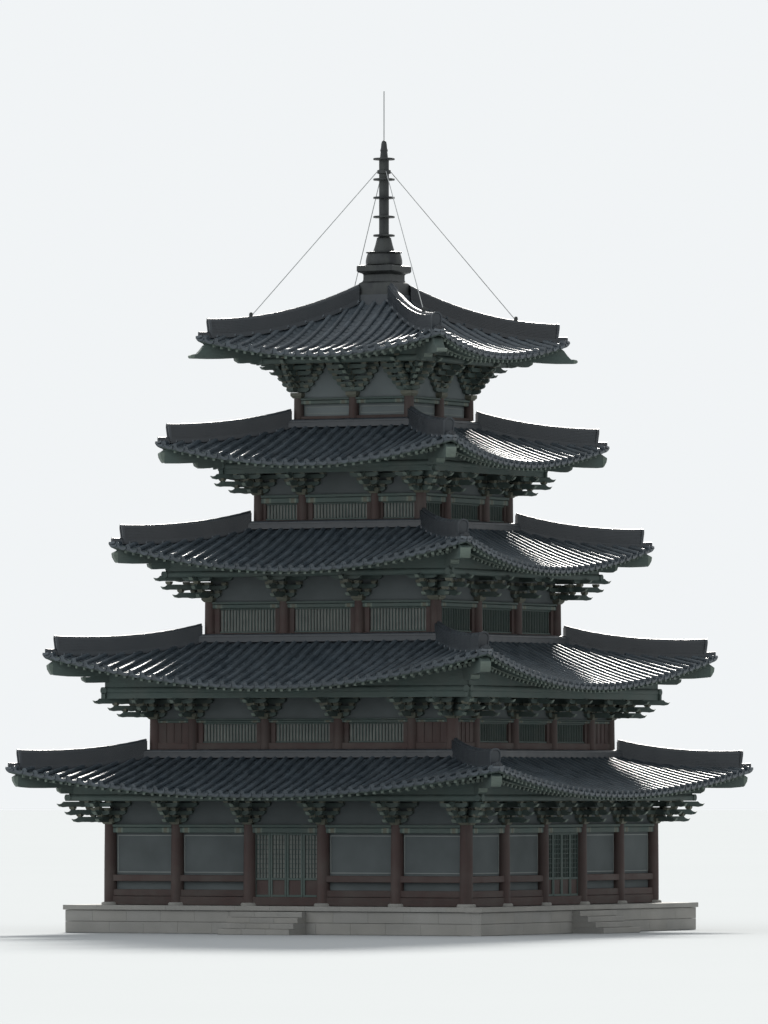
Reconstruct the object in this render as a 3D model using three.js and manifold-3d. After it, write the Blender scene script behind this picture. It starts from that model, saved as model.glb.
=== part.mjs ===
// A five-storey timber pagoda: square on plan, tiled roofs with swept-up corners, a metal finial on top.
// Millimetres, +Z up, the front faces -Y. The origin is at the middle of the stone base, on the ground.
// Every storey has the same make-up: a floor, a timber frame, a ring of wall panels behind the frame,
// a bracket tier that steps out, a boarded roof deck, a bed of tiles and the ridges on top of it.

import * as THREE from "three";
import { mergeVertices } from "three/addons/utils/BufferGeometryUtils.js";
import Module from "manifold-3d";

const wasm = await Module();
wasm.setup();

// Stone base and its four flights of steps
const base = { half: 7600, height: 900, coping: 160, copingProud: 60 };
const steps = { count: 5, going: 280, width: 2600 };

// Walls: wallHalf is the outer face of the columns, axes are the column lines of one half side,
// windowBays are the pairs of axes that a window or a plaster field fills, the heights are above
// the ground, and bracketSteps are how far the bracket tier has come out, and risen, at its middle
// and at its lip.
const storeys = [
  {
    wallHalf: 6730, columnRadius: 215, axes: [1345, 4030, 6515], windowBays: [],
    floorTop: 900, sillTop: 1400, headBottom: 3230, headTop: 3500,
    bracketSteps: [[680, 120], [1050, 640]],
  },
  {
    wallHalf: 5655, columnRadius: 200, axes: [1345, 4035, 5455],
    windowBays: [[-4035, -1345], [-1345, 1345], [1345, 4035]],
    floorTop: 4850, sillTop: 6130, headBottom: 6780, headTop: 6900,
    bracketSteps: [[700, 150], [1150, 500]],
  },
  {
    wallHalf: 4345, columnRadius: 190, axes: [1385, 4155],
    windowBays: [[-4155, -1385], [-1385, 1385], [1385, 4155]],
    floorTop: 8400, sillTop: 9700, headBottom: 10500, headTop: 10710,
    bracketSteps: [[700, 200], [1100, 650]],
  },
  {
    wallHalf: 3175, columnRadius: 180, axes: [1340, 2995],
    windowBays: [[-2995, -1340], [-1340, 1340], [1340, 2995]],
    floorTop: 12150, sillTop: 13380, headBottom: 13930, headTop: 14200,
    bracketSteps: [[500, 120], [950, 450]],
  },
  {
    wallHalf: 2210, columnRadius: 170, axes: [0, 2040], windowBays: [[-2040, 0], [0, 2040]],
    floorTop: 15600, sillTop: 16790, headBottom: 17180, headTop: 17380,
    bracketSteps: [[100, 450], [1000, 1100]],
  },
];
const wall = { panelThickness: 120, beamSetback: 90, railBottom: 1660, railTop: 1870 };
const floorThickness = 300;
const cornerColumnSides = 8;
// A half column's three faces, as parts of its radius, and how far its back reaches into the beams
const halfColumnShape = { flank: 1.1, front: 0.55, back: 20 };

// Bracket tier: how far its wall plate lies behind the columns' faces, and its own inner face
const bracket = { plateInset: 200, inside: 430 };

// Roofs: topHalf and topZ are the upper edge of the tiles, cornerHalf the tip of the corner tile,
// eaveZ the tile edge at mid side, lift the rise of the corner over it, sag the eave's bow on plan,
// bend the hollow of the slope, tongue how far the hip rafter runs past the corner tile, and
// hipDepth how deep it is below the deck.
const roofs = [
  {
    topHalf: 5655, topZ: 5770, cornerHalf: 9040, eaveZ: 4570,
    lift: 850, sag: 300, bend: 0.3, tongue: -200, hipDepth: 440,
  },
  {
    topHalf: 4345, topZ: 9520, cornerHalf: 8170, eaveZ: 8040,
    lift: 1070, sag: 350, bend: 0.3, tongue: -145, hipDepth: 510,
  },
  {
    topHalf: 3175, topZ: 13210, cornerHalf: 6610, eaveZ: 11820,
    lift: 890, sag: 330, bend: 0.3, tongue: -120, hipDepth: 470,
  },
  {
    topHalf: 2210, topZ: 16540, cornerHalf: 5510, eaveZ: 15260,
    lift: 730, sag: 300, bend: 0.3, tongue: -120, hipDepth: 500,
  },
  {
    topHalf: 400, topZ: 20800, cornerHalf: 4545, eaveZ: 18820,
    lift: 620, sag: 245, bend: 0.7, tongue: 125, hipDepth: 520,
  },
];
const topRoof = roofs[roofs.length - 1];
const topRoofRow = 1100;
const roofBuild = { tiles: 200, deck: 150, tileLip: 80, liftPower: 1.3, stationsPerSide: 6 };

// Hip ridges: a tall run that stops short of the corner, then a low step to the end
const ridge = {
  width: 300, height: 520, lowHeight: 60, stop: 370, endInset: 110, start: 40, topRoofStart: 250,
};
const footRidge = { width: 220, height: 150, depth: 300 };
const crownRing = { inset: 20, width: 260, depth: 400 };
const hipRafter = {
  width: 300, start: 20, topClear: 25, nose: 200, noseDrop: 40, tipHeight: 340, topRoofTip: 100,
};

// Finial: levels and profiles are [height, half width or radius] from the bottom up
const finialBase = {
  levels: [
    [20800, 640], [21180, 620], [21330, 500], [21480, 500], [21520, 660], [21760, 660], [21780, 560],
  ],
};
const bowl = { profile: [[21780, 600], [21950, 600], [22180, 545], [22220, 540]], sides: 16 };
const mast = {
  foot: 22220, neck: 22690, shaftTop: 25300, shoulder: 25340, tip: 25880,
  footRadius: 345, neckRadius: 230, radius: 163, shoulderRadius: 130, tipRadius: 85, sides: 8,
  rings: [22730, 23340, 23970, 24570, 25240], ringRadius: 355, ringThickness: 60,
  collarZ: 24850, collarRadius: 225, collarHeight: 120,
};
const rod = { top: 27500, radius: 20, sides: 8 };

// Four taut wires from the collar on the mast to an anchor on each hip of the top roof
const stayWire = { radius: 14, sides: 8 };
const stayAnchor = { half: 50, height: 120, root: 200, at: 3200 };

// Clear space between neighbours, overlap of pieces that are joined, and reach of a cutting solid
const gap = 0.3;
const lap = 1;
const cutMargin = 700;

const timberRed = { color: 0x4a2f2a, roughness: 0.75, metalness: 0 };
const timberGreen = { color: 0x3f4d45, roughness: 0.8, metalness: 0 };
const plaster = { color: 0x8c8f87, roughness: 0.9, metalness: 0 };
const tileGrey = { color: 0x2c333b, roughness: 0.55, metalness: 0 };
const granite = { color: 0x9a978e, roughness: 0.9, metalness: 0 };
const boards = { color: 0x5a4636, roughness: 0.85, metalness: 0 };
const darkMetal = { color: 0x3a3d40, roughness: 0.5, metalness: 0.7 };

const quarterTurns = [0, 1, 2, 3].map((k) => (k * Math.PI) / 2);
const cornerTurns = quarterTurns.map((turn) => turn + Math.PI / 4);
const upAxis = new THREE.Vector3(0, 0, 1);

const pagoda = new THREE.Group();

function addMesh(name, geometry, finish) {
  const mesh = new THREE.Mesh(geometry, new THREE.MeshStandardMaterial(finish));
  mesh.name = name;
  pagoda.add(mesh);
}

// Solids to join and cut, and back again
function toSolid(geometry) {
  const bare = geometry.clone();
  bare.deleteAttribute("normal");
  bare.deleteAttribute("uv");
  const merged = mergeVertices(bare, 1e-3);
  return new wasm.Manifold(new wasm.Mesh({
    numProp: 3,
    vertProperties: new Float32Array(merged.attributes.position.array),
    triVerts: new Uint32Array(merged.index.array),
  }));
}

function toGeometry(solid) {
  const made = solid.getMesh();
  return meshOf(made.vertProperties, made.triVerts);
}

function meshOf(positions, index) {
  const geometry = new THREE.BufferGeometry();
  geometry.setAttribute("position", new THREE.Float32BufferAttribute(positions, 3));
  geometry.setIndex([...index]);
  const flat = geometry.toNonIndexed();
  flat.computeVertexNormals();
  return flat;
}

const joined = (solids) => solids.reduce((whole, piece) => whole.add(piece));

function block(x0, x1, y0, y1, z0, z1) {
  const geometry = new THREE.BoxGeometry(x1 - x0, y1 - y0, z1 - z0);
  return geometry.translate((x0 + x1) / 2, (y0 + y1) / 2, (z0 + z1) / 2);
}

// A shape drawn in distance out from the axis and height, pushed to a thickness across it,
// and turned about Z to the side or corner that it belongs to.
function upright(outline, thickness, turn) {
  const shape = new THREE.Shape(outline.map(([out, z]) => new THREE.Vector2(out, z)));
  const geometry = new THREE.ExtrudeGeometry(shape, { depth: thickness, bevelEnabled: false });
  return geometry.translate(0, 0, -thickness / 2).rotateX(Math.PI / 2).rotateZ(turn);
}

// A ring that follows the square plan. profileAt(u) gives its section as [half, z] points in
// anticlockwise order, where u runs from -1 to 1 along a side. Each four-cornered patch is split
// from its inner to its outer edge in the same direction, so that rings with shared rows nest.
function squareSweep(profileAt, stations = roofBuild.stationsPerSide) {
  const positions = [];
  const index = [];
  const profiles = [];
  const columns = 4 * stations;
  for (let column = 0; column < columns; column += 1) {
    const turn = quarterTurns[Math.floor(column / stations)];
    const u = -1 + (2 * (column % stations)) / stations;
    const profile = profileAt(u);
    profiles.push(profile);
    for (const [half, z] of profile) {
      const point = new THREE.Vector3(u * half, -half, z).applyAxisAngle(upAxis, turn);
      positions.push(point.x, point.y, point.z);
    }
  }
  const points = profiles[0].length;
  for (let column = 0; column < columns; column += 1) {
    const next = (column + 1) % columns;
    for (let p = 0; p < points; p += 1) {
      const q = (p + 1) % points;
      const a = column * points + p;
      const b = column * points + q;
      const c = next * points + q;
      const d = next * points + p;
      if (profiles[column][p][0] <= profiles[column][q][0]) index.push(a, d, c, a, c, b);
      else index.push(a, d, b, d, c, b);
    }
  }
  return meshOf(positions, index);
}

const squareRing = (inner, outer, z0, z1) =>
  squareSweep(() => [[inner, z0], [outer, z0], [outer, z1], [inner, z1]], 1);

// Stone base with a proud coping, and a flight of steps at the middle of each side
function stoneBase() {
  const under = base.height - base.coping;
  const copingHalf = base.half + base.copingProud;
  const body = block(-base.half, base.half, -base.half, base.half, 0, under);
  const top = block(-copingHalf, copingHalf, -copingHalf, copingHalf, under, base.height);
  return toGeometry(toSolid(body).add(toSolid(top)));
}

function flight(turn) {
  const rise = base.height / steps.count;
  const outline = [[base.half, 0]];
  for (let step = steps.count - 1; step > 0; step -= 1) {
    const nose = base.half + step * steps.going;
    outline.push([nose, (steps.count - 1 - step) * rise], [nose, (steps.count - step) * rise]);
  }
  outline.push([base.half, (steps.count - 1) * rise]);
  return upright(outline, steps.width, turn);
}

// Timber frame: half-round columns outside the panels, sill, head and rails, and the boarded bays
const columnCentre = (storey) => storey.wallHalf - storey.columnRadius;
const beamFace = (storey) => storey.wallHalf - wall.beamSetback;

// An axis of 0 is one column in the middle
function columnLines(storey) {
  return [...new Set([...storey.axes.map((axis) => -axis).reverse(), ...storey.axes])];
}

// The bays of a storey with windows that no window fills
function boardedBays(storey) {
  const lines = columnLines(storey);
  const bays = lines.slice(1).map((x, i) => [lines[i], x]);
  const isWindow = ([x0, x1]) => storey.windowBays.some(([w0, w1]) => w0 === x0 && w1 === x1);
  return bays.filter((bay) => !isWindow(bay));
}

// Between two heights of one side, a board that laps into the beams and columns around it
function fill(storey, x0, x1, z0, z1) {
  return block(x0, x1, -beamFace(storey), lap - columnCentre(storey), z0, z1);
}

function cornerColumn(storey) {
  const height = storey.headTop - storey.floorTop;
  const centre = columnCentre(storey);
  return new THREE.CylinderGeometry(storey.columnRadius, storey.columnRadius, height, cornerColumnSides)
    .rotateY(Math.PI / cornerColumnSides).rotateX(Math.PI / 2)
    .translate(centre, -centre, storey.floorTop + height / 2);
}

// The outer half of a round column, as three flat faces
function halfColumn(storey, x) {
  const flank = halfColumnShape.flank * storey.columnRadius;
  const front = halfColumnShape.front * storey.columnRadius;
  const shape = new THREE.Shape([
    new THREE.Vector2(-flank, halfColumnShape.back), new THREE.Vector2(-front, -storey.columnRadius),
    new THREE.Vector2(front, -storey.columnRadius), new THREE.Vector2(flank, halfColumnShape.back),
  ]);
  const depth = storey.headTop - storey.floorTop;
  return new THREE.ExtrudeGeometry(shape, { depth, bevelEnabled: false })
    .translate(x, -columnCentre(storey), storey.floorTop);
}

// One side of a storey's frame, on the front. The ground storey has a rail in all but its middle bay.
function frameSide(storey, isGround) {
  const columns = columnLines(storey).slice(1, -1).map((x) => halfColumn(storey, x));
  if (isGround) {
    const [inner, , outer] = storey.axes;
    const rails = [[-outer, -inner], [inner, outer]];
    return [...columns, ...rails.map(([x0, x1]) => fill(storey, x0, x1, wall.railBottom, wall.railTop))];
  }
  const bottom = storey.sillTop - lap;
  const top = storey.headBottom + lap;
  return [...columns, ...boardedBays(storey).map(([x0, x1]) => fill(storey, x0, x1, bottom, top))];
}

function frame(storey, isGround) {
  const centre = columnCentre(storey);
  const face = beamFace(storey);
  const parts = [
    toSolid(squareRing(centre, face, storey.floorTop, storey.sillTop)),
    toSolid(squareRing(centre, face, storey.headBottom, storey.headTop)),
  ];
  for (const turn of quarterTurns) {
    for (const piece of [cornerColumn(storey), ...frameSide(storey, isGround)]) {
      parts.push(toSolid(piece.rotateZ(turn)));
    }
  }
  const bottom = storey.floorTop - cutMargin;
  const top = storey.headTop + cutMargin;
  const core = toSolid(block(-centre, centre, -centre, centre, bottom, top));
  return toGeometry(joined(parts).subtract(core));
}

function wallPanels(storey) {
  const centre = columnCentre(storey);
  return squareRing(centre - wall.panelThickness, centre, storey.floorTop, storey.headTop);
}

// Shape of the tiles' upper face: half is the distance out from the axis, u the place along a side
const bracketReach = (storey) => storey.wallHalf + storey.bracketSteps[1][0];
const eaveHalf = (roof, u) => roof.cornerHalf - roof.sag * (1 - u * u);

function tileHeight(roof, half, u) {
  const t = (half - roof.topHalf) / (eaveHalf(roof, u) - roof.topHalf);
  const fall = (roof.topZ - roof.eaveZ) * t * (1 + roof.bend * (1 - t));
  return roof.topZ - fall + roof.lift * u * u * Math.max(t, 0) ** roofBuild.liftPower;
}

// The rows that a roof's layers share, from the wall above out to the eave
function roofRows(roof, storey, u) {
  const inner = roof === topRoof ? [roof.topHalf, topRoofRow] : [roof.topHalf + lap];
  const plate = storey.wallHalf - bracket.plateInset;
  return [...inner, plate, bracketReach(storey), eaveHalf(roof, u) - roofBuild.tileLip];
}

// A layer of a roof between two depths below the tiles' upper face
function layer(roof, storey, u, topDrop, bottomDrop, withLip) {
  const rows = roofRows(roof, storey, u);
  if (withLip) rows.push(eaveHalf(roof, u));
  const face = (drop) => rows.map((half) => [half, tileHeight(roof, half, u) - drop]);
  return [...face(bottomDrop), ...face(topDrop).reverse()];
}

// Bracket tier: stands on the frame's head, steps out below the deck, and carries the floor inside
function bracketTier(storey, roof, floorBottom) {
  const plate = storey.wallHalf - bracket.plateInset;
  const inside = storey.wallHalf - bracket.inside;
  const outer = bracketReach(storey);
  const [middle, lip] = storey.bracketSteps;
  const under = roofBuild.tiles + roofBuild.deck + 2 * gap;
  return squareSweep((u) => [
    [inside, storey.headTop],
    [beamFace(storey), storey.headTop],
    [storey.wallHalf + middle[0], storey.headTop + middle[1]],
    [outer, storey.headTop + lip[1]],
    [outer, tileHeight(roof, outer, u) - under],
    [plate, tileHeight(roof, plate, u) - under],
    [plate, floorBottom],
    [inside, floorBottom],
  ]);
}

// Roof deck with a hip rafter that runs out under each corner
function deck(roof, storey) {
  const top = roofBuild.tiles + gap;
  const sheet = toSolid(squareSweep((u) => layer(roof, storey, u, top, top + roofBuild.deck, false)));
  const along = (half, drop) => [half * Math.SQRT2, tileHeight(roof, half, 1) - drop];
  const start = bracketReach(storey) + hipRafter.start;
  const edge = roof.cornerHalf - roofBuild.tileLip;
  const tip = (roof.cornerHalf + roof.tongue) * Math.SQRT2;
  const middle = top + roofBuild.deck / 2;
  const tipLow = tileHeight(roof, edge, 1) - middle - roof.hipDepth;
  const outline = [
    along(start, middle + roof.hipDepth),
    [tip, tipLow],
    [tip, tipLow + (roof === topRoof ? hipRafter.topRoofTip : hipRafter.tipHeight)],
    along(edge - hipRafter.nose, top + hipRafter.topClear + hipRafter.noseDrop),
    along(start, middle),
  ];
  const rafters = cornerTurns.map((turn) => toSolid(upright(outline, hipRafter.width, turn)));
  return toGeometry(joined([sheet, ...rafters]));
}

const tileBed = (roof, storey) => squareSweep((u) => layer(roof, storey, u, 0, roofBuild.tiles, true));

// Everything below the tiles' upper face, which the ridges are cut to
function belowTiles(roof, storey) {
  return toSolid(squareSweep((u) => {
    const rows = [...roofRows(roof, storey, u), eaveHalf(roof, u), roof.cornerHalf + cutMargin];
    const onTiles = (half) => [half, tileHeight(roof, Math.min(half, eaveHalf(roof, u)), u) + gap];
    const inner = rows[0] - lap;
    const bottom = roof.eaveZ - cutMargin;
    return [[inner, bottom], [rows[rows.length - 1], bottom], ...rows.map(onTiles).reverse(), onTiles(inner)];
  }));
}

function hipRidge(roof, storey, turn) {
  const on = (half, lift) => [half * Math.SQRT2, tileHeight(roof, half, 1) + lift];
  const stop = roof.cornerHalf - ridge.stop;
  const end = roof.cornerHalf - ridge.endInset;
  const from = roof.topHalf + (roof === topRoof ? ridge.topRoofStart : ridge.start);
  const rows = roofRows(roof, storey, 1).filter((half) => half > from + ridge.width / 2 && half < stop);
  const outline = [
    on(from, -ridge.height),
    on(end, -ridge.height),
    on(end, ridge.lowHeight),
    on(stop, ridge.lowHeight),
    on(stop, ridge.height),
    ...rows.reverse().map((half) => on(half, ridge.height)),
    on(from, ridge.height),
  ];
  return toSolid(upright(outline, ridge.width, turn));
}

// The ring that closes a roof's upper edge: against the wall above, or under the finial
function footRing(roof) {
  if (roof === topRoof) {
    const inner = roof.topHalf + crownRing.inset;
    return toSolid(squareRing(inner, inner + crownRing.width, roof.topZ - crownRing.depth, roof.topZ));
  }
  const inner = roof.topHalf + lap;
  const outer = roof.topHalf + footRidge.width;
  return toSolid(squareRing(inner, outer, roof.topZ - footRidge.depth, roof.topZ + footRidge.height));
}

const staySeatZ = () => tileHeight(topRoof, stayAnchor.at, 1) + ridge.height;

function staySeat(turn) {
  const middle = stayAnchor.at * Math.SQRT2;
  const top = staySeatZ() + stayAnchor.height;
  const bottom = staySeatZ() - stayAnchor.root;
  const left = middle - stayAnchor.half;
  const right = middle + stayAnchor.half;
  const outline = [[left, bottom], [right, bottom], [right, top], [left, top]];
  return toSolid(upright(outline, 2 * stayAnchor.half, turn));
}

function ridges(roof, storey) {
  const pieces = [footRing(roof), ...cornerTurns.map((turn) => hipRidge(roof, storey, turn))];
  if (roof === topRoof) pieces.push(...cornerTurns.map(staySeat));
  return toGeometry(joined(pieces).subtract(belowTiles(roof, storey)));
}

// Finial: a square base whose half width changes from level to level, and turned pieces on it
function squareStack(levels) {
  const corners = [[-1, -1], [1, -1], [1, 1], [-1, 1]];
  const positions = levels.flatMap(([z, half]) => corners.flatMap(([x, y]) => [x * half, y * half, z]));
  const index = [0, 2, 1, 0, 3, 2];
  for (let level = 0; level < levels.length - 1; level += 1) {
    for (let k = 0; k < 4; k += 1) {
      const a = level * 4 + k;
      const b = level * 4 + ((k + 1) % 4);
      index.push(a, b, b + 4, a, b + 4, a + 4);
    }
  }
  const last = (levels.length - 1) * 4;
  index.push(last, last + 1, last + 2, last, last + 2, last + 3);
  return meshOf(positions, index);
}

function turned(profile, sides) {
  const points = profile.map(([z, radius]) => new THREE.Vector2(radius, z));
  const bottom = new THREE.Vector2(0, points[0].y);
  const top = new THREE.Vector2(0, points[points.length - 1].y);
  return new THREE.LatheGeometry([bottom, ...points, top], sides).rotateX(Math.PI / 2);
}

// A plate on the mast between two heights
function plate(bottom, top, radius) {
  return [[bottom, mast.radius], [bottom, radius], [top, radius], [top, mast.radius]];
}

function mastProfile() {
  const collarHalf = mast.collarHeight / 2;
  const collar = plate(mast.collarZ - collarHalf, mast.collarZ + collarHalf, mast.collarRadius);
  const plates = mast.rings.map((z) => plate(z, z + mast.ringThickness, mast.ringRadius));
  const onShaft = [collar, ...plates].sort((a, b) => a[0][0] - b[0][0]).flat();
  return [
    [mast.foot, mast.footRadius], [mast.neck, mast.neckRadius], ...onShaft,
    [mast.shaftTop, mast.radius], [mast.shoulder, mast.shoulderRadius], [mast.tip, mast.tipRadius],
  ];
}

// A wire from the collar on the mast down to an anchor on the hip. Its square-cut ends lean by
// the wire's slope, so they start that much short of both seats.
function stay(turn) {
  const anchorFace = stayAnchor.at * Math.SQRT2 - stayAnchor.half;
  const seat = staySeatZ() + stayAnchor.height / 2;
  const slope = Math.atan2(mast.collarZ - seat, anchorFace - mast.collarRadius);
  const short = stayWire.radius * Math.sin(slope) + gap;
  const low = new THREE.Vector3(anchorFace - short, 0, seat);
  const high = new THREE.Vector3(mast.collarRadius + short, 0, mast.collarZ);
  const along = high.clone().sub(low).normalize();
  const middle = low.clone().add(high).multiplyScalar(0.5);
  return new THREE.CylinderGeometry(stayWire.radius, stayWire.radius, high.distanceTo(low), stayWire.sides)
    .applyQuaternion(new THREE.Quaternion().setFromUnitVectors(new THREE.Vector3(0, 1, 0), along))
    .translate(middle.x, middle.y, middle.z).rotateZ(turn);
}

// Assembly, from the ground up
addMesh("stone_base", stoneBase(), granite);
["right", "back", "left", "front"].forEach((side, k) => {
  addMesh(`${side}_steps`, flight(quarterTurns[k]), granite);
});

storeys.forEach((storey, i) => {
  const number = i + 1;
  const roof = roofs[i];
  const below = storeys[i - 1];
  const above = storeys[i + 1];
  const bracketTop = above ? above.floorTop - floorThickness : storey.headTop + storey.bracketSteps[1][1];
  if (below) {
    const half = below.wallHalf - bracket.plateInset - lap;
    const floor = block(-half, half, -half, half, storey.floorTop - floorThickness, storey.floorTop);
    addMesh(`floor_${number}`, floor, boards);
  }
  addMesh(`storey_${number}_frame`, frame(storey, !below), timberRed);
  addMesh(`storey_${number}_panels`, wallPanels(storey), plaster);
  addMesh(`storey_${number}_brackets`, bracketTier(storey, roof, bracketTop), timberGreen);
  addMesh(`roof_${number}_deck`, deck(roof, storey), timberGreen);
  addMesh(`roof_${number}_tiles`, tileBed(roof, storey), tileGrey);
  addMesh(`roof_${number}_ridges`, ridges(roof, storey), tileGrey);
});

addMesh("finial_base", squareStack(finialBase.levels), darkMetal);
addMesh("finial_bowl", turned(bowl.profile, bowl.sides), darkMetal);
addMesh("mast", turned(mastProfile(), mast.sides), darkMetal);
const rodLength = rod.top - mast.tip;
const rodMiddle = (rod.top + mast.tip) / 2;
addMesh("lightning_rod", new THREE.CylinderGeometry(rod.radius, rod.radius, rodLength, rod.sides)
  .rotateX(Math.PI / 2).translate(0, 0, rodMiddle), darkMetal);
["back_right", "back_left", "front_left", "front_right"].forEach((corner, k) => {
  addMesh(`stay_${corner}`, stay(cornerTurns[k]), darkMetal);
});

export default pagoda;
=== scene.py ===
# Looks for a five-storey timber pagoda: tile rows, ridges, rafters, bracket sets, lattice and finial.
# Metres, +Z up, the front faces -Y. A place on the front side is written (x, out, z), with out the
# distance from the tower's axis, and the other three sides are turned copies of the front.
import math
import random

import bmesh
import bpy
import numpy as np
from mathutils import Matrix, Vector


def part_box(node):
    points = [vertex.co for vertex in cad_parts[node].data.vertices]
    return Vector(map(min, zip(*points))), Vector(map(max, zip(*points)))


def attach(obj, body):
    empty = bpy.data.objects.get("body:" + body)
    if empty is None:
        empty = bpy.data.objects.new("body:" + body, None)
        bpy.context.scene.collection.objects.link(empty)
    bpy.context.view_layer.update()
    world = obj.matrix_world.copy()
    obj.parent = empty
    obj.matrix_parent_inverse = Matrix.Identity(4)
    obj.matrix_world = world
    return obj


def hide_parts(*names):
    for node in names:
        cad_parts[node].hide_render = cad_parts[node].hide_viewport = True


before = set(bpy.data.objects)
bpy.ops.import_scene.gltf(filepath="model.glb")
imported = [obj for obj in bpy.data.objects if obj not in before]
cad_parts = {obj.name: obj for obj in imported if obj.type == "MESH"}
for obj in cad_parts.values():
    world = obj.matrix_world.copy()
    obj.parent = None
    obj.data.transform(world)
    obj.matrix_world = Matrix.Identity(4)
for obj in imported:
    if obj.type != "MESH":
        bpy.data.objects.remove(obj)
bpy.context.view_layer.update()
chance = random.Random(17)
scene = bpy.context.scene
print("frame loaded")

rightwards = Vector((1, 0, 0))
outwards = Vector((0, 1, 0))
upwards = Vector((0, 0, 1))
diagonal = Vector((1, 1, 0)).normalized()  # outwards along the front right hip
acrossHip = Vector((1, -1, 0)).normalized()
towerFoot = Vector((0, 0, 0))
root2 = math.sqrt(2)  # length on plan along a hip for each metre outwards


# Camera, from the place the photograph was taken from but framed closer
shot = {
    "azimuth": 28.5,  # degrees from the front towards the right side
    "distance": 288.0,
    "eye": 4.7,  # height of the camera
    "aim": 13.7,  # height that it looks at
    "frameHeight": 33.5,  # what the picture's long side takes in, at the tower
}


def direction(azimuth, elevation=0):
    # azimuth is degrees from the front (-Y) towards the right side (+X)
    around, up = math.radians(azimuth), math.radians(elevation)
    return Vector((math.sin(around) * math.cos(up), -math.cos(around) * math.cos(up), math.sin(up)))


def addObject(name, data, axis=None, towards=None):
    # Turns the object's own axis towards a direction, if one is given
    made = bpy.data.objects.new(name, data)
    if axis:
        made.rotation_mode = "QUATERNION"
        made.rotation_quaternion = towards.to_track_quat(axis, "Y")
    scene.collection.objects.link(made)
    return made


def placeCamera():
    place = direction(shot["azimuth"]) * shot["distance"]
    place.z = shot["eye"]
    data = bpy.data.cameras.new("camera")
    data.lens = data.sensor_width * shot["distance"] / shot["frameHeight"]
    data.clip_end = shot["distance"] + 2 * stageValues["floor"]
    scene.camera = addObject("camera", data, "-Z", upwards * shot["aim"] - place)
    scene.camera.location = place


# Materials
class Shade:
    # A value or colour inside a material. Maths on a value adds Math nodes.
    def __init__(self, finish, socket):
        self.finish = finish
        self.socket = socket

    def maths(self, operation, *values):
        return self.finish.node("ShaderNodeMath", {"operation": operation}, dict(enumerate(values)))

    def __add__(self, other):
        return self.maths("ADD", self, other)

    def __radd__(self, other):
        return self.maths("ADD", other, self)

    def __mul__(self, other):
        return self.maths("MULTIPLY", self, other)

    def __rmul__(self, other):
        return self.maths("MULTIPLY", other, self)

    def __gt__(self, other):
        return self.maths("GREATER_THAN", self, other)

    def __lt__(self, other):
        return self.maths("LESS_THAN", self, other)


class Finish:
    # A material with its shader, and the nodes that feed it
    def __init__(self, name, roughness=0.8, metallic=0.0, specular=0.5):
        self.material = bpy.data.materials.new(name)
        self.material.use_nodes = True
        self.tree = self.material.node_tree
        self.shader = self.tree.nodes["Principled BSDF"]
        self.shader.inputs["Roughness"].default_value = roughness
        self.shader.inputs["Metallic"].default_value = metallic
        self.shader.inputs["Specular IOR Level"].default_value = specular

    def node(self, kind, settings=None, inputs=None, out=0):
        made = self.tree.nodes.new(kind)
        for name, value in (settings or {}).items():
            if name == "stops":
                self.setStops(made.color_ramp, value)
            else:
                setattr(made, name, value)
        for name, value in (inputs or {}).items():
            self.put(made.inputs[name], value)
        return Shade(self, made.outputs[out])

    def setStops(self, ramp, stops):
        for element, (place, level) in zip(ramp.elements, stops):
            element.position = place
            element.color = (level, level, level, 1)

    def put(self, socket, value):
        if isinstance(value, Shade):
            self.tree.links.new(value.socket, socket)
        else:
            socket.default_value = value

    def feed(self, name, value):
        self.put(self.shader.inputs[name], value)

    def mix(self, factor, first, second):
        return self.node("ShaderNodeMix", {"data_type": "RGBA"}, {0: factor, 6: first, 7: second}, out=2)

    def place(self, stretch=(1, 1, 1)):
        # The piece's own coordinates
        where = self.node("ShaderNodeTexCoord", out=3)
        return self.node("ShaderNodeMapping", None, {"Vector": where, "Scale": stretch})

    def noise(self, scale, detail=3.0, stretch=(1, 1, 1), low=0.0, high=1.0):
        # Cloudy values from 0 to 1, with the contrast pulled out between low and high
        values = {"Vector": self.place(stretch), "Scale": scale, "Detail": detail}
        cloudy = self.node("ShaderNodeTexNoise", None, values)
        return self.node("ShaderNodeValToRGB", {"stops": [(low, 0), (high, 1)]}, {"Fac": cloudy})

    def tone(self):
        # The number that every tile, board or block carries
        return self.node("ShaderNodeAttribute", {"attribute_name": "tone"}, out=2)

    def bump(self, height, strength, distance):
        raised = {"Height": height, "Strength": strength, "Distance": distance}
        self.feed("Normal", self.node("ShaderNodeBump", None, raised))


def colour(red, green, blue):
    return (red, green, blue, 1)


clayValues = {
    "dust": colour(0.085, 0.098, 0.105),
    "gloss": 0.40,  # roughness of a fresh tile, and of a weathered one
    "weathered": 0.62,
}


def makeRoofClay(name, dark, pale, dustiness):
    clay = Finish(name, specular=0.6)
    streaks = clay.noise(2.4, 4.0, stretch=(1, 1, 0.6), low=0.35, high=0.75)
    base = clay.mix(clay.tone(), dark, pale)
    worn = clay.mix(streaks * dustiness, base, clayValues["dust"])
    clay.feed("Base Color", worn)
    grain = clay.noise(26, 3.0)
    spreading = clayValues["weathered"] - clayValues["gloss"]
    clay.feed("Roughness", clayValues["gloss"] + spreading * (streaks * 0.6 + clay.tone() * 0.4))
    clay.bump(grain, 0.35, 0.01)
    return clay.material


paintValues = {"roughness": 0.7, "bare": colour(0.10, 0.10, 0.09)}


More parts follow.
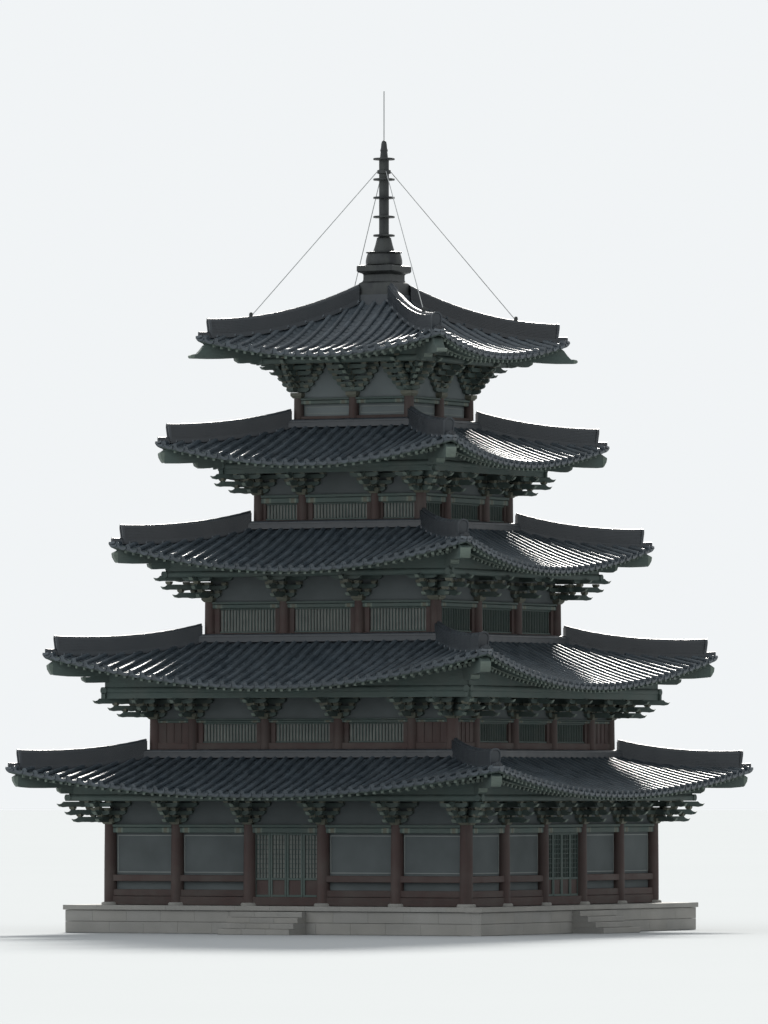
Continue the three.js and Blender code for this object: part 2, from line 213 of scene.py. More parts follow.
def makePaintedTimber(name, dark, pale, upright=False):
    # Old distemper on timber: the grain shows through and the paint has thinned in places
    roughness = paintValues["roughness"]
    paint = Finish(name, roughness=roughness, specular=0.35)
    stretch = (9, 9, 0.5) if upright else (2.0, 2.0, 9)
    grain = paint.noise(2.2, 5.0, stretch=stretch, low=0.3, high=0.72)
    patches = paint.noise(1.1, 3.0, low=0.38, high=0.7)
    base = paint.mix(grain * 0.6 + paint.tone() * 0.4, dark, pale)
    faded = paint.mix(patches * 0.25, base, paintValues["bare"])
    paint.feed("Base Color", faded)
    paint.feed("Roughness", roughness - 0.08 + 0.2 * grain)
    paint.bump(grain, 0.3, 0.008)
    return paint.material


def makePlaster(name, dark, pale):
    plaster = Finish(name, roughness=0.9, specular=0.25)
    stains = plaster.noise(0.9, 5.0, low=0.3, high=0.75)
    fine = plaster.noise(34, 2.0)
    plaster.feed("Base Color", plaster.mix(stains * 0.7 + plaster.tone() * 0.3, dark, pale))
    plaster.bump(fine, 0.25, 0.004)
    return plaster.material


def makePaper(name, dark, pale):
    # Paper behind the lattice, yellowed between its fibres
    paper = Finish(name, roughness=0.92, specular=0.2)
    paper.feed("Base Color", paper.mix(paper.noise(3.0, 4.0, low=0.3, high=0.7), dark, pale))
    paper.bump(paper.noise(60, 2.0), 0.15, 0.002)
    return paper.material


graniteColours = {
    "dark": colour(0.19, 0.19, 0.183),
    "pale": colour(0.29, 0.286, 0.268),
    "warm": colour(0.245, 0.234, 0.207),
    "stain": colour(0.10, 0.10, 0.093),
}


def makeGranite(name):
    granite = Finish(name, roughness=0.85, specular=0.35)
    speckle = granite.noise(110, 2.0, low=0.36, high=0.64)
    weather = granite.noise(0.8, 5.0, low=0.3, high=0.75)
    clean = granite.mix(speckle, graniteColours["dark"], graniteColours["pale"])
    toned = granite.mix(granite.tone() * 0.35, clean, graniteColours["warm"])
    granite.feed("Base Color", granite.mix(weather * 0.4, toned, graniteColours["stain"]))
    granite.bump(granite.noise(30, 4.0) * 0.5 + weather * 0.5, 0.3, 0.006)
    return granite.material


def makeMetal(name, dark, pale, roughness, metallic):
    metal = Finish(name, roughness=roughness, metallic=metallic)
    bloom = metal.noise(3.2, 5.0, stretch=(1, 1, 0.5), low=0.35, high=0.7)
    metal.feed("Base Color", metal.mix(bloom, dark, pale))
    metal.feed("Roughness", roughness + 0.25 * bloom)
    metal.bump(metal.noise(18, 3.0), 0.2, 0.004)
    return metal.material


boardColours = {
    "dark": colour(0.10, 0.06, 0.035),
    "pale": colour(0.20, 0.13, 0.08),
    "seam": colour(0.02, 0.015, 0.01),
}


def makeBoards(name):
    boards = Finish(name, roughness=0.8, specular=0.3)
    grain = boards.noise(1.6, 5.0, stretch=(0.4, 8, 8), low=0.3, high=0.7)
    seams = boards.node("ShaderNodeTexWave", {"bands_direction": "Y", "wave_profile": "SAW"},
                        {"Vector": boards.place(), "Scale": 0.5})
    planks = boards.mix(grain, boardColours["dark"], boardColours["pale"])
    boards.feed("Base Color", boards.mix((seams > 0.96) * 0.8, planks, boardColours["seam"]))
    boards.bump(grain, 0.3, 0.006)
    return boards.material


redTimber = (colour(0.028, 0.018, 0.016), colour(0.060, 0.037, 0.034))
timberPaints = {  # name, dark, pale
    "green": ("green_timber", colour(0.034, 0.053, 0.049), colour(0.068, 0.096, 0.087)),
    "paleGreen": ("pale_green_paint", colour(0.076, 0.102, 0.089), colour(0.138, 0.174, 0.148)),
    "ochre": ("ochre_paint", colour(0.068, 0.073, 0.057), colour(0.118, 0.121, 0.092)),
    "redRail": ("red_rail", *redTimber),
}
plasters = {
    "plaster": ("wall_plaster", colour(0.098, 0.115, 0.118), colour(0.153, 0.177, 0.181)),
    # The lower storeys' plaster is the wall plaster made darker: painted shade on storeys one to four
    "lowPlaster": ("lower_storeys_plaster_painted_shade", colour(0.060, 0.070, 0.072), colour(0.094, 0.108, 0.111)),
    "palePlaster": ("frame_plaster", colour(0.14, 0.155, 0.152), colour(0.19, 0.21, 0.205)),
}
finishes = {
    "clay": makeRoofClay("roof_clay", colour(0.023, 0.033, 0.042), colour(0.043, 0.058, 0.071), 0.20),
    # The ridge clay is the roof clay made darker and less dusty: painted shade, so the ridges' sides look as
    # dark as the shaded tile rows
    "ridgeClay": makeRoofClay("ridge_clay_painted_shade", colour(0.010, 0.014, 0.019), colour(0.018, 0.025, 0.032), 0.08),
    "red": makePaintedTimber("red_timber", *redTimber, upright=True),
    **{finish: makePaintedTimber(*values) for finish, values in timberPaints.items()},
    **{finish: makePlaster(*values) for finish, values in plasters.items()},
    "paper": makePaper("window_paper", colour(0.140, 0.148, 0.141), colour(0.203, 0.212, 0.198)),
    "granite": makeGranite("granite"),
    "boards": makeBoards("floor_boards"),
    "metal": makeMetal("finial_metal", colour(0.020, 0.022, 0.024), colour(0.055, 0.060, 0.058), 0.42, 0.6),
    "wire": makeMetal("wire_metal", colour(0.30, 0.31, 0.31), colour(0.42, 0.43, 0.43), 0.45, 0.7),
}
print("materials made")


# Mesh making
def spread(start, end, parts):
    # Even steps from start to end
    return [start + (end - start) * i / parts for i in range(parts + 1)]


def circleOf(sides):
    return spread(0, 2 * math.pi, sides)[:-1]


def archOf(sides):
    return spread(0, math.pi, sides)


def arc(middle, across, up, radius, turns):
    return [middle + across * (radius * math.cos(turn)) + up * (radius * math.sin(turn)) for turn in turns]


def boxOutline(a0, a1, b0, b1):
    return [(a0, b0), (a1, b0), (a1, b1), (a0, b1)]


def quarterTurned(x, out, z, side):
    # A front-side place taken to another side
    for _ in range(side):
        x, out = out, -x
    return (x, out, z)


sideTone = 0.31  # how far the tones move from one side to the next


class Pile:
    # Closed shapes gathered into one mesh. Each shape carries a tone, each face a finish.
    def __init__(self):
        self.points = []
        self.tones = []
        self.faces = []
        self.finishes = []
        self.count = 0

    def add(self, points, tones, faces, finishes):
        self.points.append(points)
        self.tones.append(tones)
        self.faces += [tuple(i + self.count for i in face) for face in faces]
        self.finishes += finishes
        self.count += len(points)

    def loft(self, rings, finish=0, loop=False):
        # Joins like rings of points with bands. finish is one number, or one for each band.
        around = len(rings[0])
        bands = len(rings) if loop else len(rings) - 1
        perBand = finish if isinstance(finish, list) else [finish] * bands
        faces, paints = [], []
        for band, paint in enumerate(perBand):
            first = band * around
            second = ((band + 1) % len(rings)) * around
            for i in range(around):
                j = (i + 1) % around
                faces.append((first + i, first + j, second + j, second + i))
            paints += [paint] * around
        if not loop:
            faces += [tuple(range(around)), tuple(bands * around + i for i in reversed(range(around)))]
            paints += [perBand[0], perBand[-1]]
        points = np.array([tuple(point) for ring in rings for point in ring], float)
        points[:, 1] *= -1  # out becomes -Y
        self.add(points, np.full(len(points), chance.random()), faces, paints)

    def beam(self, low, high, along=0, edge=0.0, finish=0, cuts=()):
        # A squared timber or stone between two corners, its long edges taken off, painted in
        # lengths when finish is a list and cuts are where the lengths meet
        a, b = [axis for axis in range(3) if axis != along]
        a0, a1, b0, b1 = low[a], high[a], low[b], high[b]
        outline = boxOutline(a0, a1, b0, b1)
        if edge:
            outline = [(a0 + edge, b0), (a1 - edge, b0), (a1, b0 + edge), (a1, b1 - edge),
                       (a1 - edge, b1), (a0 + edge, b1), (a0, b1 - edge), (a0, b0 + edge)]
        places = [low[along], *cuts, high[along]]
        self.loft([[(*pair[:along], place, *pair[along:]) for pair in outline] for place in places], finish)

    def slab(self, outline, origin, across, up, thickness, finish=0):
        # An outline of (across, up) points, with its thickness centred on the origin
        side = across.cross(up) * (thickness / 2)
        face = [origin + across * a + up * b for a, b in outline]
        self.loft([[point - side for point in face], [point + side for point in face]], finish)

    def rod(self, start, end, radius, finish=0, cuts=(), narrowing=0.0):
        # A round timber or bolt that isn't upright. cuts are parts of its length where the finish
        # changes, narrowing is what its radius loses to its end, as a part.
        axis = (end - start).normalized()
        across = axis.cross(upwards).normalized()
        up = across.cross(axis)
        self.loft([arc(start.lerp(end, part), across, up, radius * (1 - narrowing * part), circleOf(10))
                   for part in [0, *cuts, 1]], finish)

    def turned(self, profile, sides, origin=towerFoot):
        # A lathe shape from (radius, z) points
        self.loft([arc(origin + upwards * z, rightwards, outwards, radius, circleOf(sides))
                   for radius, z in profile])

    def squareRing(self, outlineAt, stations=1, finish=0):
        # A closed ring that follows the square plan. outlineAt(u) gives (half, z) points,
        # with u from -1 to 1 along a side.
        self.loft([[quarterTurned(u * half, half, z, side) for half, z in outlineAt(u)]
                   for side in range(4) for u in spread(-1, 1, stations)[:-1]], finish, loop=True)

    def squareStack(self, levels, x=0, out=0, finish=0):
        # A square post from (half, z) levels
        self.loft([[(*corner, z) for corner in boxOutline(x - half, x + half, out - half, out + half)]
                   for half, z in levels], finish)

    def fourSides(self):
        # Repeats everything so far on the other three sides, each with other tones
        points, tones = np.concatenate(self.points), np.concatenate(self.tones)
        faces, paints = list(self.faces), list(self.finishes)
        for side in range(1, 4):
            x, y, z = points.T
            points = np.column_stack([-y, x, z])
            self.add(points, (tones + side * sideTone) % 1, faces, paints)

    def makePiece(self, name, materials, slotName, *replaced, smooth=32):
        mesh = bpy.data.meshes.new(name)
        mesh.from_pydata(np.concatenate(self.points).tolist(), [], self.faces)
        mesh.polygons.foreach_set("material_index", self.finishes)
        mesh.attributes.new("tone", "FLOAT", "POINT").data.foreach_set("value", np.concatenate(self.tones))
        work = bmesh.new()
        work.from_mesh(mesh)
        bmesh.ops.recalc_face_normals(work, faces=work.faces[:])
        work.to_mesh(mesh)
        work.free()
        mesh.shade_smooth()
        mesh.set_sharp_from_angle(angle=math.radians(smooth))
        for material in materials:
            mesh.materials.append(finishes[material])
        piece = addObject(name, mesh)
        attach(piece, "root")
        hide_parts(*replaced)
        triangles = sum(len(face) - 2 for face in self.faces)
        print(f"  {name}: {triangles} triangles")


def valuesOf(shapes, number):
    # One storey's values out of a dictionary whose lists hold one for each storey
    return {name: value[number - 1] if isinstance(value, list) else value for name, value in shapes.items()}


# Shape of each roof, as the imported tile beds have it
roofShapes = {
    "lift": [0.85, 1.07, 0.89, 0.73, 0.62],  # rise of the corner over the middle of the eave
    "sag": [0.3, 0.35, 0.33, 0.3, 0.245],  # bow of the eave on plan
    "bend": [0.3, 0.3, 0.3, 0.3, 0.7],  # hollow of the slope
    "tongue": [-0.2, -0.145, -0.12, -0.12, 0.125],  # hip rafter's tip past the corner tile
    "hipDepth": [0.44, 0.51, 0.47, 0.5, 0.52],  # of the hip rafter below the boards
    "lowerHip": [1.24, 0.95, 0.95, 0.95, 0.95],  # end of the timber under it before the corner
    "liftPower": 1.3,
    "bedDepth": 0.2,
    "crown": 0.4,  # half width of the top roof's opening under the finial
}


class Roof:
    def __init__(self, number):
        vars(self).update(valuesOf(roofShapes, number))
        low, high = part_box(f"roof_{number}_tiles")
        self.number = number
        self.corner = high.x
        self.topZ = high.z
        self.eaveZ = low.z + self.bedDepth
        self.isTop = number == 5
        self.topHalf = self.crown if self.isTop else Wall(number + 1).face

    def eave(self, u):
        return self.corner - self.sag * (1 - u * u)

    def eaveOver(self, x):
        # Distance out of the eave at a place along the side
        half = self.corner
        for _ in range(6):
            half = self.eave(x / half)
        return half

    def height(self, out, u):
        t = (out - self.topHalf) / (self.eave(u) - self.topHalf)
        fall = (self.topZ - self.eaveZ) * t * (1 + self.bend * (1 - t))
        return self.topZ - fall + self.lift * u * u * max(t, 0) ** self.liftPower

    def point(self, x, out, drop=0.0):
        return Vector((x, out, self.height(out, x / out) - drop))

    def hipPoint(self, half, rise=0.0):
        return Vector((half, half, self.height(half, 1) + rise))

    def frameAt(self, x, out, drop=0.0):
        # A place on the tiles with its directions: across the rows, down the slope, and off it
        step = 0.02
        across = (self.point(x + step, out) - self.point(x - step, out)).normalized()
        down = (self.point(x, out + step) - self.point(x, out - step)).normalized()
        return self.point(x, out, drop), across, down, across.cross(down).normalized()

    def sheet(self, u, start, end, parts, top, bottom):
        # Section of a sheet between two depths below the tiles
        outs = spread(start, end, parts)
        return ([(out, self.height(out, u) - top) for out in outs]
                + [(out, self.height(out, u) - bottom) for out in reversed(outs)])

    def eaveBoard(self, u, back, drop, depth, thick):
        out = self.eave(u) - back
        z = self.height(out, u) - drop
        return boxOutline(out, out - thick, z, z - depth)


# Walls of each storey. The face is the outer face of the round columns.
wallShapes = {
    "radius": [0.215, 0.2, 0.19, 0.18, 0.17],
    "axes": [[1.345, 4.03, 6.515], [1.345, 4.035, 5.455], [1.385, 4.155], [1.34, 2.995], [0, 2.04]],
    "sill": [1.4, 6.13, 9.7, 13.38, 16.79],
    "headBottom": [3.23, 6.78, 10.5, 13.93, 17.18],
    # Storeys one to four take the darker plaster, which is painted shade
    "plaster": ["lowPlaster", "lowPlaster", "lowPlaster", "lowPlaster", "plaster"],
    "setback": 0.09,  # beams behind the columns' face
    "packedSides": 8,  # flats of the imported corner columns
}


class Wall:
    def __init__(self, number):
        vars(self).update(valuesOf(wallShapes, number))
        low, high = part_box(f"storey_{number}_frame")
        self.number = number
        self.face = high.x + self.radius * (1 - math.cos(math.pi / self.packedSides))
        self.floor = low.z
        self.head = high.z
        self.centre = self.face - self.radius
        self.beamFace = self.face - self.setback
        self.lines = sorted({-x for x in self.axes} | set(self.axes))
        self.bays = list(zip(self.lines, self.lines[1:]))


# Tiles: rows of round tiles with flat ones between, on a bed
tileSizes = {
    "pitch": 0.405,  # from row to row, about
    "margin": 0.33,  # from the last row to the corner
    "hold": 0.05,  # the corner tiles' lips behind the corner
    "radius": 0.088,
    "narrow": 0.92,  # upper end of a round tile, as part of its lower end
    "length": 0.34,  # that shows of each round tile
    "least": 0.08,  # shortest cut tile
    "sink": 0.07,  # axis of the round tiles below the roof's surface
    "sides": 7,  # flats on the back of a round tile
    "discRadius": 1.06,  # as part of a round tile's
    "disc": [(1, -0.03), (1, 0.012), (0.8, 0.012), (0.72, 0.002), (0.34, 0.002), (0.24, 0.012)],
    "panLength": 0.2,  # that shows of each flat tile
    "panHalf": 0.145,
    "panDip": 0.04,
    "panStep": 0.016,  # a flat tile's lower end over the next one
    "panSink": 0.085,
    "panThick": 0.03,
    "dripThick": 0.024,
    "bedSink": 0.12,
    "bedEnd": 0.05,  # the bed's edge behind the eave
}


def tileEnd(roof, x):
    return min(roof.eaveOver(x), roof.corner - tileSizes["hold"])


def laidRow(start, end, length, least):
    # The upper and lower end of each tile in a row, the lowest tile first
    while end - start > least:
        upper = max(end - length, start)
        yield upper, end
        end = upper


def layDisc(pile, middle, ahead, across, up, radius, sides, steps):
    # A round end tile with a raised rim and a boss. steps are (part of the radius, how far ahead).
    pile.loft([arc(middle + ahead * far, across, up, radius * part, circleOf(sides)) for part, far in steps])


def roundTileRing(roof, x, out, scale):
    place, across, _, off = roof.frameAt(x, out, tileSizes["sink"])
    return arc(place, across, off, tileSizes["radius"] * scale, archOf(tileSizes["sides"]))


def layRoundRow(pile, roof, x):
    size = tileSizes
    end = tileEnd(roof, x)
    place, across, down, off = roof.frameAt(x, end, size["sink"])
    layDisc(pile, place, down, across, off, size["radius"] * size["discRadius"], 12, size["disc"])
    for upper, lower in laidRow(max(roof.topHalf, abs(x)), end, size["length"], size["least"]):
        pile.loft([roundTileRing(roof, x, upper, size["narrow"]), roundTileRing(roof, x, lower, 1)])


def panRing(roof, x, out, lift):
    size = tileSizes
    place, across, _, off = roof.frameAt(x, out, size["panSink"])
    half, dip = size["panHalf"], size["panDip"]
    section = [(half * part, lift - dip * (1 - part * part)) for part in spread(-1, 1, 4)]
    section += [(half, -dip - size["panThick"]), (-half, -dip - size["panThick"])]
    return [place + across * a + off * b for a, b in section]


def layPanRow(pile, roof, x):
    size = tileSizes
    end = tileEnd(roof, x)
    layDripTile(pile, roof, x, end)
    start = max(roof.topHalf, abs(x) - size["pitch"] / 4)
    for upper, lower in laidRow(start, end, size["panLength"], size["least"]):
        pile.loft([panRing(roof, x, upper, 0), panRing(roof, x, lower, size["panStep"])])


def layDripTile(pile, roof, x, out):
    # The hanging lip of the last flat tile, curved like the tile above it
    place, across, down, off = roof.frameAt(x, out, tileSizes["panSink"])
    thick = tileSizes["dripThick"]
    outline = [(-1, 0.02), (-0.5, -0.02), (0, -0.035), (0.5, -0.02), (1, 0.02),
               (1, -0.05), (0.6, -0.10), (0, -0.125), (-0.6, -0.10), (-1, -0.05)]
    outline = [(tileSizes["panHalf"] * part, rise) for part, rise in outline]
    pile.slab(outline, place + down * (thick / 2), across, off, thick)


def tileRoof(roof):
    pile = Pile()
    size = tileSizes
    reach = roof.corner - size["margin"]
    rows = round(reach / size["pitch"])
    pitch = reach / rows
    for row in range(-rows, rows + 1):
        layRoundRow(pile, roof, row * pitch)
    for row in range(-rows, rows):
        layPanRow(pile, roof, (row + 0.5) * pitch)
    for way in (-1, 1):
        layPanRow(pile, roof, way * (roof.corner - size["margin"] / 2))
    pile.fourSides()

    def bed(u):
        return roof.sheet(u, roof.topHalf, roof.eave(u) - size["bedEnd"], 7, size["bedSink"], roof.bedDepth)

    pile.squareRing(bed, stations=24)
    pile.makePiece(f"roof_{roof.number}_tile_rows", ["clay"], "roof_tiles", f"roof_{roof.number}_tiles")


# Ridges: stacked courses of flat tiles under a row of round caps
ridgeSizes = {
    "half": 0.15,
    "height": 0.52,
    "sunk": 0.12,
    "firstCourse": 0.03,  # its foot over the tiles
    "course": 0.052,
    "mortar": 0.42,  # as part of a course
    "groove": 0.022,  # how far the mortar lies back between two courses
    "lip": 0.004,  # courses' edge behind the foot's
    "capRadius": 0.09,
    "capLength": 0.36,
    "capNarrow": 0.92,
    "leastCap": 0.06,
    "start": 0.02,  # past the wall above
    "crownStart": 0.22,  # past the top roof's opening
    "stop": 0.37,  # tall run's end before the corner
    "plateOver": 0.01,  # end plate's edges past the ridge
    "plateWider": 0.03,
    "plateFoot": 0.86,
    "plateSunk": 0.05,
    "plateLean": 0.12,  # outwards for each metre up
    "plate": [(1, -0.05), (1, 0.035), (0.8, 0.035), (0.74, 0.0), (0.1, -0.012)],
    "end": 0.11,  # low step's end before the corner
    "lowSeat": -0.005,  # seat of the low step's caps over the tiles
    "lowHalf": 0.12,
    "lowHeight": 0.035,
    "lowLap": 0.05,  # low step's start behind the tall run's end
    "lowCapLap": 0.02,
    "disc": [(1, -0.03), (1, 0.02), (0.78, 0.02), (0.7, 0.008), (0.3, 0.008), (0.2, 0.02)],
    "footHeight": 0.15,
    "footDepth": 0.21,
    "footCap": 0.08,
    "kerb": (0.02, 0.28),  # its inner and outer face past the top roof's opening
    "kerbDepth": 0.4,
}


def courseSection(half, height):
    # A ridge's section, from the right foot over the top to the left, wide and narrow in turn
    size = ridgeSizes
    first = size["firstCourse"]
    courses = max(1, round((height - first) / size["course"]))
    step = (height - first) / courses
    narrow, wide = half - size["groove"], half - size["lip"]
    points = [(half, -size["sunk"]), (half, first)]
    for z in spread(first, height, courses)[:-1]:
        seam = z + step * size["mortar"]
        points += [(narrow, z), (narrow, seam), (wide, seam), (wide, z + step)]
    return points + [(-a, z) for a, z in reversed(points)]


def hipRing(roof, out, section):
    base = roof.hipPoint(out)
    return [base + acrossHip * a + upwards * z for a, z in section]


def layCaps(pile, seatAt, start, end, length, across, radius=ridgeSizes["capRadius"]):
    # Round caps along a ridge. seatAt(place) gives the middle of a cap's foot.
    for upper, lower in laidRow(start, end, length, ridgeSizes["leastCap"]):
        pile.loft([arc(seatAt(place), across, upwards, radius * scale, archOf(8))
                   for place, scale in [(upper, ridgeSizes["capNarrow"]), (lower, 1)]])


def layHipRidge(pile, roof):
    size = ridgeSizes
    start = roof.topHalf + size["crownStart" if roof.isTop else "start"]
    stop = roof.corner - size["stop"]
    seat = size["height"] - size["capRadius"]
    section = courseSection(size["half"], seat)
    pile.loft([hipRing(roof, out, section) for out in spread(start, stop, 14)])
    layCaps(pile, lambda out: roof.hipPoint(out, seat), start, stop, size["capLength"] / root2, acrossHip)
    layRidgeEnd(pile, roof, stop)
    layLowStep(pile, roof, stop)


def layRidgeEnd(pile, roof, stop):
    # The plain end plate: rounded on top, hollow in front, leaning out
    size = ridgeSizes
    base = roof.hipPoint(stop)
    height = size["height"] + size["plateOver"]
    half = size["half"] + size["plateWider"]
    foot = half * size["plateFoot"]
    outline = [(-foot, -size["plateSunk"]), (foot, -size["plateSunk"])]
    outline += [(half * math.cos(turn), height - half + half * math.sin(turn)) for turn in archOf(10)]
    middle = height / 2
    lean = diagonal * size["plateLean"] + upwards
    pile.loft([[base + acrossHip * (a * scale) + lean * (middle + (z - middle) * scale) + diagonal * far
                for a, z in outline] for scale, far in size["plate"]])


def layLowStep(pile, roof, stop):
    size = ridgeSizes
    end = roof.corner - size["end"]
    section = courseSection(size["lowHalf"], size["lowHeight"])
    pile.loft([hipRing(roof, out, section) for out in (stop - size["lowLap"], end)])

    def seatAt(out):
        return roof.hipPoint(out, size["lowSeat"])

    layCaps(pile, seatAt, stop - size["lowCapLap"], end, size["capLength"] / root2, acrossHip)
    layDisc(pile, seatAt(end), diagonal, acrossHip, upwards, size["capRadius"], 14, size["disc"])


anchorSizes = {
    "out": 3.2,
    "sunk": 0.04,  # in the ridge's caps
    "half": 0.05,
    "height": 0.12,
    "crown": 0.04,
    "bolt": 0.018,
    "boltHalf": 0.07,
    "boltUp": 0.1,
}


def layStaySeat(pile, roof):
    # The shoe on the hip that a stay is made fast to, with a bolt through it
    size = anchorSizes
    seat = roof.hipPoint(size["out"], ridgeSizes["height"] - size["sunk"])
    half, height = size["half"], size["height"]
    crown = height + size["crown"]
    outline = [(-half, 0), (half, 0), (half, height), (half * 0.4, crown), (-half * 0.4, crown),
               (-half, height)]
    pile.slab(outline, seat, diagonal, upwards, 2 * half, finish=1)
    middle = seat + upwards * size["boltUp"]
    side = acrossHip * size["boltHalf"]
    pile.rod(middle - side, middle + side, size["bolt"], finish=1)


def ridgeRoof(roof):
    pile = Pile()
    size = ridgeSizes
    layHipRidge(pile, roof)
    if roof.isTop:
        layStaySeat(pile, roof)
        pile.fourSides()
        inner, outer = [roof.topHalf + past for past in size["kerb"]]
        kerb = boxOutline(inner, outer, roof.topZ - size["kerbDepth"], roof.topZ)
    else:
        # Along the wall above: a course and caps
        middle = roof.topHalf + size["footDepth"] / 2
        height = size["footHeight"] - size["footCap"]
        layCaps(pile, lambda x: Vector((x, middle, roof.topZ + height)), -middle, middle,
                size["capLength"], outwards, size["footCap"])
        pile.fourSides()
        kerb = [(middle + a, roof.topZ + z) for a, z in courseSection(size["footDepth"] / 2, height)]
    pile.squareRing(lambda u: kerb)
    name = f"roof_{roof.number}_ridge_courses"
    # The ridge courses take the darker clay, which is painted shade
    pile.makePiece(name, ["ridgeClay", "metal"], "roof_tiles", f"roof_{roof.number}_ridges")


# Decks: boards, round rafters, square flying rafters over them, eave boards and hip rafters
deckSizes = {
    "start": 0.2,  # inner ends behind the columns' face
    "boards": 0.045,
    "boardsEnd": 0.09,  # their edge behind the eave
    "spacing": 0.30,
    "fan": 0.35,  # from the columns' face to the first rafter that fans out
    "fanned": 0.22,  # how far the fanned rafters' inner ends stand apart, as part of the outer ends
    "cornerGap": 0.35,  # from the last rafter to the corner
    "radius": 0.062,
    "narrowing": 0.06,
    "least": 0.3,  # shortest round rafter
    "roundEnd": 0.78,  # round rafters' ends behind the eave
    "roundDrop": 0.44,  # their axis below the tiles at that end
    "roundDropIn": 0.33,  # and at the wall
    "flyEnd": 0.13,
    "flyStart": 1.6,
    "flyHalf": 0.045,
    "flyHeight": 0.095,
    "flyTip": 0.88,  # height of its tip, as part of the rest
    "endPaint": 0.05,
    "hipHalf": 0.15,
    "hipStart": 0.3,  # behind the columns' face
    "hipEdge": 0.08,  # where the hip rafter's nose takes its height from, before the corner
    "hipTop": 0.26,  # below the tiles
    "hipLow": 0.28,  # its underside below the tiles, less its depth
    "noseLow": 0.275,
    "nosePaint": 0.14,
    # Outlines of the upper hip rafter's nose: how far behind the tip, how high over the underside
    "nose": [(0.02, 0.34), (0, 0.31), (0.02, 0.19), (0.1, 0.05), (0.24, 0)],
    "pointedNose": [(0.47, 0.42), (0.34, 0.25), (0.22, 0.135), (0.04, 0.115), (0, 0.09), (0, 0.03),
                    (0.05, 0)],
    "lowerDepth": 0.2,
    # Eave boards: behind the eave, below the tiles, depth, thickness
    "eaveBoards": [(0.075, 0.11, 0.10, 0.05), (0.75, 0.34, 0.045, 0.06)],
}


def fanned(wall, x):
    # Where a rafter that reaches the eave at x starts over the wall
    start = wall.face - deckSizes["start"]
    turnAt = wall.face + deckSizes["fan"]
    if abs(x) <= turnAt:
        return x, start
    along = turnAt + (abs(x) - turnAt) * deckSizes["fanned"]
    return math.copysign(along, x), max(start, along)


def layRafters(pile, roof, wall):
    size = deckSizes
    last = roof.corner - size["cornerGap"]
    count = int(last / size["spacing"]) + 1
    for xEnd in [(i + 0.5) * size["spacing"] for i in range(-count, count)]:
        if abs(xEnd) > last:
            continue
        xStart, outStart = fanned(wall, xEnd)
        eave = roof.eaveOver(xEnd)

        def onLine(out, drop):
            x = xStart + (xEnd - xStart) * (out - outStart) / (eave - outStart)
            return roof.point(x, max(out, abs(x)), drop)

        endOut = eave - size["roundEnd"]
        if endOut - outStart > size["least"]:
            start = onLine(outStart, size["roundDropIn"])
            end = onLine(endOut, size["roundDrop"])
            cut = 1 - size["endPaint"] / (end - start).length
            pile.rod(start, end, size["radius"], [0, 1], [cut], size["narrowing"])
        layFlyingRafter(pile, onLine, max(eave - size["flyStart"], outStart), eave - size["flyEnd"])


def layFlyingRafter(pile, onLine, outStart, outEnd):
    size = deckSizes
    top = roofShapes["bedDepth"] + size["boards"]
    rings = []
    for out in [outStart, (outStart + outEnd) / 2, outEnd - size["endPaint"], outEnd]:
        upper = onLine(out, top)
        ahead = onLine(out + 0.05, top) - onLine(out - 0.05, top)
        side = ahead.cross(upwards).normalized() * size["flyHalf"]
        fall = upwards * (-size["flyHeight"] * (size["flyTip"] if out == outEnd else 1))
        rings.append([upper - side, upper + side, upper + side + fall, upper - side + fall])
    pile.loft(rings, [0, 0, 1])


def layHipTimber(pile, outline, wider=0.0, finish=0):
    # outline is in metres outwards along the hip, and up
    pile.slab(outline, towerFoot, diagonal, upwards, 2 * deckSizes["hipHalf"] + wider, finish)


def layHipRafter(pile, roof, wall):
    # Two stacked timbers under the corner, the upper one running on to its nose
    size = deckSizes
    edge = roof.corner - size["hipEdge"]
    outs = spread(wall.face - size["hipStart"], edge - 0.25, 8)
    top = [(out * root2, roof.height(out, 1) - size["hipTop"]) for out in outs]
    low = [(out * root2, roof.height(out, 1) - size["hipLow"] - roof.hipDepth) for out in outs]
    tip = (roof.corner + roof.tongue) * root2
    tipLow = roof.height(edge, 1) - size["noseLow"] - roof.hipDepth
    nose = [(tip - back, tipLow + rise) for back, rise in size["pointedNose" if roof.isTop else "nose"]]
    layHipTimber(pile, top + nose + [(out, z) for out, z in reversed(low) if out < tip - 0.4])
    start = tip - size["nosePaint"]
    paint = [(out + 0.004, z) for out, z in nose if out > start]
    layHipTimber(pile, [(start, paint[0][1] + 0.02), *paint, (start, tipLow + 0.01)], 0.012, finish=1)
    layLowerHipRafter(pile, roof, low)


def layLowerHipRafter(pile, roof, top):
    depth = deckSizes["lowerDepth"]
    end = (roof.corner - roof.lowerHip) * root2
    upper = [(out, z) for out, z in top if out < end]
    z = upper[-1][1]
    cut = [(end, z - 0.02), (end - 0.03, z - 0.12), (end - 0.16, z - depth)]
    bottom = [(out, height - depth) for out, height in reversed(upper) if out < end - 0.3]
    layHipTimber(pile, upper + cut + bottom, -0.04)
    paint = [(end - 0.1, z - 0.005), (end + 0.004, z - 0.022), (end - 0.026, z - 0.12),
             (end - 0.1, z - 0.165)]
    layHipTimber(pile, paint, -0.03, finish=1)


def deckRoof(roof, wall):
    pile = Pile()
    size = deckSizes
    layRafters(pile, roof, wall)
    layHipRafter(pile, roof, wall)
    pile.fourSides()
    top = roof.bedDepth

    def boards(u):
        start, end = wall.face - size["start"], roof.eave(u) - size["boardsEnd"]
        return roof.sheet(u, start, end, 5, top + 0.002, top + size["boards"])

    pile.squareRing(boards, stations=24)
    for board in size["eaveBoards"]:
        pile.squareRing(lambda u: roof.eaveBoard(u, *board), stations=24, finish=1)
    name = f"roof_{roof.number}_rafters"
    pile.makePiece(name, ["green", "paleGreen"], "green_timber", f"roof_{roof.number}_deck")


